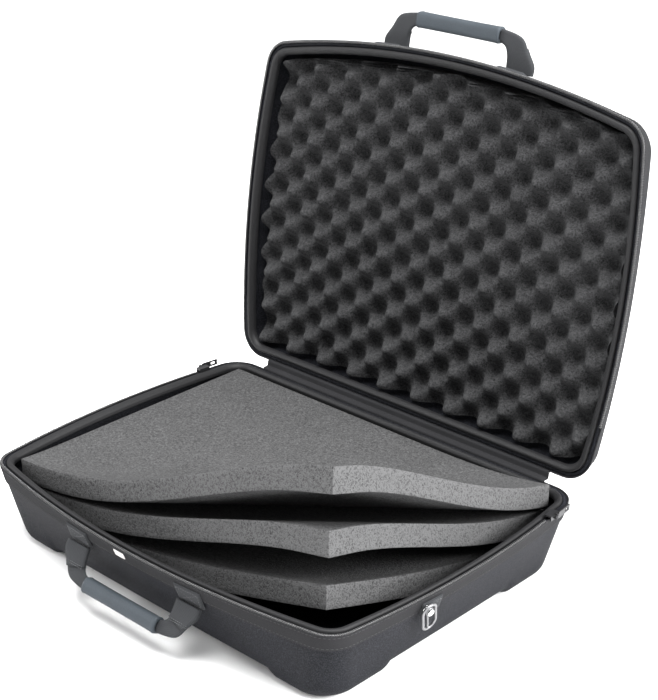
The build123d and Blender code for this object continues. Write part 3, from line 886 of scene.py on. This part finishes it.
def makeEggCrate():
    # peaks on a staggered lattice: height = rise times ((1 + cos cos) / 2) to a power, over a flat back,
    # cut off square round the lid's outline
    c = crate
    top = rimZ + shell["lidHeight"] - shell["wall"] - c["backGap"]
    tip = rimZ + c["tipAt"]
    dense = (90, 24, 110, 150)
    edgeLoop = lidLoops(np.array([tip + c["outlineAt"]]), np.array([-c["side"]]), counts=dense)[0]
    # a grid in x and y squeezed to the outline: each row of the grid runs from one side to the other
    rows = np.linspace(edgeLoop[:, 1].min(), edgeLoop[:, 1].max(), 140)
    right = edgeLoop[edgeLoop[:, 0] > 0]
    right = right[np.argsort(right[:, 1])]
    halfAt = np.interp(rows, right[:, 1], right[:, 0])
    halfAt[0] = np.interp(rows[0] + 1e-4, right[:, 1], right[:, 0])
    for end in (0, -1):
        sameY = right[np.abs(right[:, 1] - rows[end]) < 2e-4]
        if len(sameY):
            halfAt[end] = sameY[:, 0].max()
    cols = np.linspace(-1, 1, 190)
    x = halfAt[:, None] * cols
    y = np.broadcast_to(rows[:, None], x.shape)
    fromHinge = hingeAt[1] - y
    wave = (np.cos(2 * math.pi * (x - c["firstX"]) / c["pitchX"])
            * np.cos(2 * math.pi * (fromHinge - c["firstY"]) / c["pitchY"]))
    wobble = 0.06 * np.sin(x * 61 + y * 23) * np.sin(y * 47 - x * 19)
    height = ((1 + wave) / 2) ** c["sharp"] * (1 + wobble)
    z = tip + (1 - height) * c["rise"]
    z = np.maximum(z, tip)
    face = np.stack([x, y, z], -1)
    rim = gridRim(face)
    foot = rim * np.array([c["squeeze"], c["squeeze"], 1])
    foot[:, 2] = top
    side = np.stack([rim * (1 - k) + foot * k for k in np.linspace(0, 1, 6)])
    flatBack = shrunk(foot[None], np.linspace(1, 0, 6))
    parts = Parts().grid(opened(face)).grid(opened(side), closeCols=True)
    parts.grid(opened(flatBack), closeCols=True)
    piece = parts.build("eggCrateFoam", weld=2e-5)
    softenEdges(piece, 55)
    return place(piece, "lid", crateFoam, ["lid_egg_crate_foam"])


makeEggCrate()

# carry handles
handle = dict(webbing=0.032, thickness=0.0024, spacing=0.158, reach=0.040, gripLength=0.104, gripWidth=0.016,
              gripThickness=0.012, droop=60.0, margin=0.0016, foldRise=0.0019, foldThickness=0.0016,
              foldRows=22)


def stripPath(points, samples):
    # smooth curve through a few points: a Catmull-Rom cubic for each span
    p = np.asarray(points, float)
    p = np.vstack([2 * p[0] - p[1], p, 2 * p[-1] - p[-2]])
    out = []
    for i in range(1, len(p) - 2):
        t = np.linspace(0, 1, samples, endpoint=i == len(p) - 3)[:, None]
        a, b, c, d = p[i - 1], p[i], p[i + 1], p[i + 2]
        bend = (2 * a - 5 * b + 4 * c - d) * t ** 2 + (3 * b - a - 3 * c + d) * t ** 3
        out.append(0.5 * ((2 * b) + (c - a) * t + bend))
    return np.concatenate(out)


def ribbon(edgeA, edgeB, thickness, lift):
    # webbing between two edge lines: a flat closed section with rounded selvedges, carried along them
    run = np.linspace(0, 1, 9)
    full = np.minimum(1.0, np.sqrt(np.maximum(0.0, 1 - np.abs(2 * run - 1) ** 14)) + 0.25)
    share = np.concatenate([run, run[::-1]])
    height = np.concatenate([full, -full[::-1]])
    across = edgeA[None] + (edgeB - edgeA)[None] * share[:, None, None]
    points = across + lift[None] * height[:, None, None] * thickness / 2
    middle = (edgeA + edgeB) / 2
    length = runAlong(middle)
    wide = np.linalg.norm(edgeB - edgeA, axis=1)
    flat = np.stack([np.broadcast_to(length, (len(share), len(edgeA))), (share - 0.5)[:, None] * wide], -1)
    return points, flat


def makeHandle(name, toCase, body, nodes):
    # drawn flat: fold line on the X axis, grip towards -Y. Each end of webbing narrows from its
    # tab's full width into the grip, and is folded double over a seam near the tab
    h = handle
    mid = h["spacing"] / 2
    half = h["webbing"] / 2
    gripIn = h["reach"] - h["gripWidth"]
    gripEnd = h["gripLength"] / 2
    margin = h["margin"]
    rise = upward * h["foldRise"]
    layer = slice(0, h["foldRows"])
    parts = Parts()
    for side in (-1, 1):
        outer = stripPath([(mid + half, 0.0005), (mid + half - 0.0005, -0.009), (mid + half - 0.008, -0.020),
                           (mid - 0.002, -h["reach"] + 0.0065), (gripEnd + 0.002, -h["reach"] + margin),
                           (gripEnd - 0.006, -h["reach"] + margin + 0.001)], 9)
        inner = stripPath([(mid - half, 0.0005), (mid - half - 0.0002, -0.010), (mid - half - 0.001, -0.016),
                           (mid - half - 0.004, -0.0225), (gripEnd + 0.0005, -gripIn - margin),
                           (gripEnd - 0.006, -gripIn - margin - 0.001)], 9)
        n = len(outer)
        sag = 0.0007 * np.sin(np.linspace(0, math.pi, n))
        edgeA = np.stack([side * outer[:, 0], outer[:, 1], sag], -1)
        edgeB = np.stack([side * inner[:, 0], inner[:, 1], -sag * 0.3], -1)
        lift = np.broadcast_to(upward, edgeA.shape)
        points, flat = ribbon(edgeA, edgeB, h["thickness"], lift)
        parts.grid(points, closeRows=True, flat=flat)
        for end in (0, -1):
            parts.grid(capRows(points[:, end], 0.4), closeCols=True)
        # the end folded back on itself, as a second layer with its own edge
        top, flatTop = ribbon(edgeA[layer] + rise, edgeB[layer] + rise, h["foldThickness"], lift[layer])
        parts.grid(top, closeRows=True, flat=flatTop + 0.013)
        for end in (0, -1):
            parts.grid(capRows(top[:, end], 0.4), closeCols=True)
    strap = parts.carry(toCase).build(name + "Webbing")
    place(strap, body, webbing, [nodes[0]])
    # stitches across the fold
    lines, dirs = [], []
    for side in (-1, 1):
        for row in (-0.0205, -0.0225):
            span = np.linspace(mid - half + 0.001, mid + half - 0.009, 9)
            lines.append(np.stack([side * span, np.full(9, row + 0.002), np.full(9, 0.0030)], -1))
            dirs.append(np.broadcast_to(np.array([float(side), 0, 0]), (9, 3)))
    pts = np.concatenate(lines)
    dr = np.concatenate(dirs)
    up = np.broadcast_to(upward, pts.shape)
    moved = toCase(pts)
    stitches(name + "FoldStitches", moved, toCase(pts + dr) - moved, toCase(pts + up) - moved, 0.0022, 0.0003,
             body, paleThread)
    makeGrip(name, toCase, body, nodes[1])


def makeGrip(name, toCase, body, node):
    # wrapped grip: a rounded box section along X, softly waisted, with the cover's overlap as a raised
    # lip along the top and a turned hem at each end
    h = handle
    x = np.linspace(-1, 1, 61)
    t = np.arange(44) / 44 * 2 * math.pi
    c = np.cos(t)
    s = np.sin(t)
    power = 2 / 3.4
    wide = np.sign(c) * np.abs(c) ** power * h["gripWidth"] / 2
    high = np.sign(s) * np.abs(s) ** power * h["gripThickness"] / 2
    hem = 1 + 0.035 * np.exp(-((np.abs(x) - 0.965) / 0.022) ** 2) - 0.05 * smooth((np.abs(x) - 0.985) / 0.015)
    waist = 1 - 0.030 * (1 - x ** 2)
    fromLip = np.mod(t - 1.25, 2 * math.pi)
    lip = 0.0007 * smooth(fromLip / 0.18) * (1 - smooth((fromLip - 0.2) / 2.2))
    ring = np.stack([wide + lip * c, high + lip * s], -1)
    shaped = ring[None] * (hem * waist)[:, None, None]
    centre = -h["reach"] + h["gripWidth"] / 2
    points = np.stack([np.broadcast_to((x * h["gripLength"] / 2)[:, None], shaped.shape[:2]),
                       centre + shaped[..., 0], shaped[..., 1]], -1)
    parts = Parts()
    flat = np.stack([points[..., 0], np.broadcast_to((t * 0.007), points.shape[:2])], -1)
    parts.grid(points, closeCols=True, flat=flat)
    for end in (0, -1):
        r = points[end]
        m = r.mean(0)
        dent = np.array([np.sign(m[0]) * 0.0015, 0, 0])
        rows = [r, m + (r - m) * 0.55, m + (r - m) * 0.5 - dent, np.broadcast_to(m - dent, r.shape)]
        parts.grid(np.stack(rows), closeCols=True)
    grip = parts.carry(toCase).build(name + "GripWrap")
    place(grip, body, wrap, [node])
    # stitches along the overlap
    n = 26
    span = np.linspace(-h["gripLength"] / 2 + 0.005, h["gripLength"] / 2 - 0.005, n)
    pts = np.stack([span, np.full(n, centre + 0.0030), np.full(n, h["gripThickness"] / 2 * 0.985)], -1)
    dr = np.broadcast_to(np.array([1.0, 0, 0]), pts.shape)
    up = np.broadcast_to(upward, pts.shape)
    moved = toCase(pts)
    stitches(name + "GripStitches", moved, toCase(pts + dr) - moved, toCase(pts + up) - moved, 0.0020,
             0.00028, body, paleThread)


baseFold = np.array(joints["base_handle_swing"]["pos_m"])
lidFold = np.array(joints["lid_handle_swing"]["pos_m"])


def toBaseHandle(p):
    return turned(p, math.radians(handle["droop"]), np.zeros(3)) + baseFold


def toLidHandle(p):
    return turned(p, openTurn, np.zeros(3)) + lidFold


makeHandle("baseHandle", toBaseHandle, "base_handle", ["base_handle_strap", "base_handle_grip"])
makeHandle("lidHandle", toLidHandle, "lid_handle", ["lid_handle_strap", "lid_handle_grip"])

# sewn tabs with box stitching
tabs = dict(seat=0.0014, thickness=0.0024, baseLow=0.060, baseHigh=0.080, lidLow=0.092, lidHigh=0.108,
            inset=0.0024, ringLow=0.0645, ringHigh=0.0795, ringFront=-0.071, ringBack=-0.045,
            ringThickness=0.0021, labelThickness=0.0009)


def makePatch(name, loops, z0, z1, along0, along1, side, out0, out1, body, move, material, nodes,
              boxStitch=True):
    # a patch of webbing following the wall between two heights and two positions along it,
    # slightly crowned, with rounded edges
    dense = dict(counts=(60, 60, 300, 500))
    nz, nx = 15, 29
    z = np.linspace(z0, z1, nz)
    rows = loops(z, np.zeros(nz), **dense)
    key = 0 if side == "front" else 1
    pointing = np.array(dict(front=(0, -1.0, 0), right=(1.0, 0, 0), left=(-1.0, 0, 0))[side])
    keep = rows[0] @ pointing > (0.1 if side == "front" else 0.15)
    u = np.linspace(along0, along1, nx)
    wall = []
    for row in rows:
        use = row[keep]
        use = use[np.argsort(use[:, key])]
        wall.append(np.stack([np.interp(u, use[:, key], use[:, i]) for i in range(3)], -1))
    wall = np.stack(wall)
    gu = np.gradient(wall, axis=1)
    gz = np.gradient(wall, axis=0)
    out = unit(np.cross(gu, gz))
    out = out * np.sign(out @ pointing)[..., None]
    k = np.abs(np.linspace(-1, 1, nx))[None, :]
    m = np.abs(np.linspace(-1, 1, nz))[:, None]
    crown = np.sqrt(np.clip(1 - np.maximum(k, m) ** 16, 0, 1)) * 0.6 + 0.4
    face = wall + out * (out0 + (out1 - out0) * crown)[..., None]
    back = wall + out * out0
    height = np.broadcast_to(z[:, None], face.shape[:2])
    flat = np.stack([height, np.broadcast_to(u, face.shape[:2])], -1)
    parts = Parts().grid(face, flat=flat).grid(back, flat=flat)
    parts.grid(np.stack([gridRim(face), gridRim(back)]), closeCols=True)
    piece = parts.carry(move).build(name)
    softenEdges(piece, 50)
    place(piece, body, material, nodes)
    if not boxStitch:
        return
    # box with crossed diagonals, read off the patch's own surface
    a = tabs["inset"] / abs(along1 - along0)
    b = tabs["inset"] / abs(z1 - z0)
    corners = [(a, b), (1 - a, b), (1 - a, 1 - b), (a, 1 - b)]
    paths = [(corners[i], corners[(i + 1) % 4]) for i in range(4)]
    paths += [(corners[0], corners[2]), (corners[1], corners[3])]
    pts, dirs, outs = [], [], []
    for p, q in paths:
        length = math.hypot((q[0] - p[0]) * (along1 - along0), (q[1] - p[1]) * (z1 - z0))
        n = max(3, int(length / 0.0030))
        t = (np.arange(n) + 0.5) / n
        fu = (p[0] + (q[0] - p[0]) * t) * (nx - 1)
        fz = (p[1] + (q[1] - p[1]) * t) * (nz - 1)
        iu = np.clip(fu.astype(int), 0, nx - 2)
        iz = np.clip(fz.astype(int), 0, nz - 2)
        du = (fu - iu)[:, None]
        dz = (fz - iz)[:, None]
        surface = (face[iz, iu] * (1 - du) * (1 - dz) + face[iz, iu + 1] * du * (1 - dz)
                   + face[iz + 1, iu] * (1 - du) * dz + face[iz + 1, iu + 1] * du * dz)
        pts.append(surface)
        d = unit((surface[-1] - surface[0])[None])
        dirs.append(np.broadcast_to(d, surface.shape))
        outs.append(out[iz, iu])
    pts = np.concatenate(pts)
    dirs = np.concatenate(dirs)
    outs = np.concatenate(outs)
    moved = move(pts)
    stitches(name + "Stitches", moved, move(pts + dirs) - moved, move(pts + outs) - moved, 0.0021, 0.00032,
             body, paleThread)


seat = tabs["seat"]
proud = seat + tabs["thickness"]
half = handle["webbing"] / 2
for side, x in (("left", -handle["spacing"] / 2), ("right", handle["spacing"] / 2)):
    makePatch("baseHandleTab" + side.title(), baseLoops, tabs["baseLow"], tabs["baseHigh"], x - half,
              x + half, "front", seat, proud, "base", same, webbing, ["base_handle_tab_" + side])
    makePatch("lidHandleTab" + side.title(), lidLoops, tabs["lidLow"], tabs["lidHigh"], x - half, x + half,
              "front", seat, proud, "lid", opened, webbing, ["lid_handle_tab_" + side])
for side in ("left", "right"):
    makePatch(side + "RingTab", baseLoops, tabs["ringLow"], tabs["ringHigh"], tabs["ringFront"],
              tabs["ringBack"], side, seat, seat + tabs["ringThickness"], "base", same, webbing,
              [side + "_ring_tab"])
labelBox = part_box("base_label")
makePatch("blankLabel", baseLoops, labelBox[0].z, labelBox[1].z, labelBox[0].x, labelBox[1].x, "front",
          seat, seat + tabs["labelThickness"], "base", same, plainLabel, ["base_label"],
          boxStitch=False)

# rivets, rings, sliders and pulls
ring = dict(length=0.038, width=0.018, wire=0.0028, bar=0.0023, barAt=-0.0022, lean=20.0, standOff=0.0021,
            eye=0.0031, eyeWire=0.0015)


def wallFrame(side):
    # the rivet's place and the directions out of, along and up the side wall
    joint = joints[side + "_ring_swing"]
    at = np.array(joint["pos_m"])
    out = unit(np.array(joint["axis"], float))
    if out[0] * (1 if side == "right" else -1) < 0:
        out = -out
    up = unit(upward - out * out[2])
    along = unit(np.cross(up, out))
    return at, out, along, up


def tube(path, radius, closed, sides=14, flatOut=1.0, reference=upward):
    # round section carried along a path that lies in one plane
    tangent = np.roll(path, -1, 0) - np.roll(path, 1, 0) if closed else np.gradient(path, axis=0)
    tangent = unit(tangent)
    a = np.arange(sides) / sides * 2 * math.pi
    side = unit(np.cross(tangent, reference))
    points = (path[None] + radius * np.cos(a)[:, None, None] * side[None]
              + radius * flatOut * np.sin(a)[:, None, None] * reference[None, None])
    return points


def makeRing(side):
    # oblong wire ring: two straights joined by half circles, with a bar down it, all in the ring's plane
    r = ring
    at, out, along, up = wallFrame(side)
    half = r["width"] / 2 - r["wire"] / 2
    straight = r["length"] / 2 - r["width"] / 2
    t = np.linspace(-math.pi / 2, math.pi / 2, 17)
    endA = np.stack([straight + half * np.cos(t), half * np.sin(t)], -1)
    endB = -endA
    part = (np.arange(1, 10) / 10)[:, None]
    sideA = endA[-1] + (endB[0] - endA[-1]) * part
    sideB = endB[-1] + (endA[0] - endB[-1]) * part
    loop = np.concatenate([endA, sideA, endB, sideB])
    loop = np.concatenate([loop, np.zeros((len(loop), 1))], 1)
    loop[:, 0] -= straight
    barY = r["barAt"]
    bar = np.linspace([-2 * straight - half + 0.001, barY, 0], [0.0035, barY, 0], 16)
    parts = Parts()
    parts.grid(tube(loop, r["wire"] / 2, True, flatOut=0.92), closeRows=True, closeCols=True)
    parts.grid(tube(bar, r["bar"] / 2, False, flatOut=0.92), closeRows=True)
    a = np.linspace(0, 2 * math.pi, 33)[:-1]
    eye = np.stack([r["eye"] * np.cos(a), r["eye"] * np.sin(a), np.zeros(32)], -1)
    parts.grid(tube(eye, r["eyeWire"], True, flatOut=0.9), closeRows=True, closeCols=True)
    hand = 1 if side == "right" else -1
    lean = math.radians(r["lean"]) * hand
    stand = r["standOff"] + r["wire"] / 2

    def toWall(p):
        # the ring's own X is up the wall and its Y is along it
        px = p[:, 0]
        py = p[:, 1] * hand
        upPart = px * math.cos(lean) + py * math.sin(lean)
        alongPart = -px * math.sin(lean) + py * math.cos(lean)
        return at + upPart[:, None] * up + alongPart[:, None] * along + (p[:, 2] + stand)[:, None] * out

    piece = parts.carry(toWall).build(side + "RingWire", weld=1e-6)
    return place(piece, side + "_ring", cast, [side + "_strap_ring"])


def makeRivet(side):
    # turned profile about the axis out of the wall: a washer, a shank and a domed head with a small rim
    at, out, along, up = wallFrame(side)
    washer = [(0.0, -0.0003), (0.0036, -0.0003), (0.0037, 0.0), (0.0036, 0.0012), (0.0030, 0.0017)]
    shank = [(0.00112, 0.0018), (0.0011, 0.0053)]
    head = [(0.0030, 0.00545), (0.0036, 0.0056), (0.0037, 0.0060), (0.0034, 0.00655), (0.0028, 0.0070),
            (0.0019, 0.00728), (0.0009, 0.0074), (0.0, 0.00742)]
    profile = np.array(washer + shank + head)
    fine = stripPath(profile, 3)
    fine[:, 0] = np.maximum(fine[:, 0], 0)
    a = np.arange(40) / 40 * 2 * math.pi
    spoke = np.cos(a)[None, :, None] * along + np.sin(a)[None, :, None] * up
    points = (at + fine[:, 0][:, None, None] * spoke
              + fine[:, 1][:, None, None] * out)
    piece = Parts().grid(points, closeCols=True).build(side + "RivetHead")
    return place(piece, "base", bright, [side + "_ring_rivet"])


for side in ("left", "right"):
    makeRing(side)
    makeRivet(side)


def paintNode(name, material):
    # a carried-over part keeps its exact shape and gets the finish of its real metal
    node = frame["nodes"][name]
    node.data.materials.clear()
    node.data.materials.append(material)


for side in ("left", "right"):
    for part in ("_zip_slider", "_zip_pull"):
        paintNode(side + part, paint)

print("all pieces made")

# floor, light and camera
studio = dict(floor=9.0, key=230.0, fill=60.0, top=170.0, world=0.70)


def paleFloor():
    f = Finish("paleFloor", Specular_IOR_Level=0.2)
    f.colour(f.blendColour(f.noise(f.at(), 3, 2, 0.5), (0.90, 0.90, 0.90), (0.94, 0.94, 0.94)))
    f.roughness(0.8 + f.noise(f.at(), 40, 2, 0.5) * 0.1)
    return f.material


side = studio["floor"]
floorPoints = np.array([[[-side, -side, 0], [side, -side, 0]], [[-side, side, 0], [side, side, 0]]], float)
floorPiece = Parts().grid(floorPoints).build("studioFloor", weld=0, outward=False)
floorPiece.data.materials.append(paleFloor())


def softLight(name, at, to, size, power, shade=(1, 1, 1)):
    data = bpy.data.lights.new(name, "AREA")
    data.shape = "RECTANGLE"
    data.size, data.size_y = size
    data.energy = power
    data.color = shade
    lamp = bpy.data.objects.new(name, data)
    lamp.location = at
    lamp.rotation_euler = (Vector(to) - Vector(at)).to_track_quat("-Z", "Y").to_euler()
    bpy.context.scene.collection.objects.link(lamp)


softLight("keyRight", (2.5, 0.9, 1.3), (0, 0, 0.1), (1.4, 1.6), studio["key"])
softLight("fillLeft", (-2.2, -1.6, 1.2), (0, 0, 0.15), (1.4, 1.4), studio["fill"])
softLight("overhead", (0.3, -0.3, 2.5), (0, 0, 0), (1.6, 1.6), studio["top"])
world = bpy.data.worlds.new("studioAir")
world.use_nodes = True
world.node_tree.nodes["Background"].inputs[0].default_value = (1, 1, 1, 1)
world.node_tree.nodes["Background"].inputs[1].default_value = studio["world"]
bpy.context.scene.world = world
bpy.context.scene.view_settings.view_transform = "Standard"

view = dict(azimuth=45.1945, elevation=28.3156, roll=-0.8321, at=(1.0299, -1.0230, 0.8701), lens=89.245,
            shiftX=0.07668, shiftY=0.19111)
az = math.radians(view["azimuth"])
el = math.radians(view["elevation"])
ro = math.radians(view["roll"])
right = Vector((math.cos(az), math.sin(az), 0))
back = Vector((math.sin(az) * math.cos(el), -math.cos(az) * math.cos(el), math.sin(el)))
up = back.cross(right)
r2 = right * math.cos(ro) + up * math.sin(ro)
u2 = up * math.cos(ro) - right * math.sin(ro)
lens = bpy.data.cameras.new("studioCamera")
lens.sensor_fit = "HORIZONTAL"
lens.sensor_width = 36.0
lens.lens = view["lens"]
lens.shift_x = view["shiftX"]
lens.shift_y = view["shiftY"]
camera = bpy.data.objects.new("studioCamera", lens)
camera.matrix_world = Matrix(((r2.x, u2.x, back.x, view["at"][0]), (r2.y, u2.y, back.y, view["at"][1]),
                              (r2.z, u2.z, back.z, view["at"][2]), (0, 0, 0, 1)))
bpy.context.scene.collection.objects.link(camera)
bpy.context.scene.camera = camera
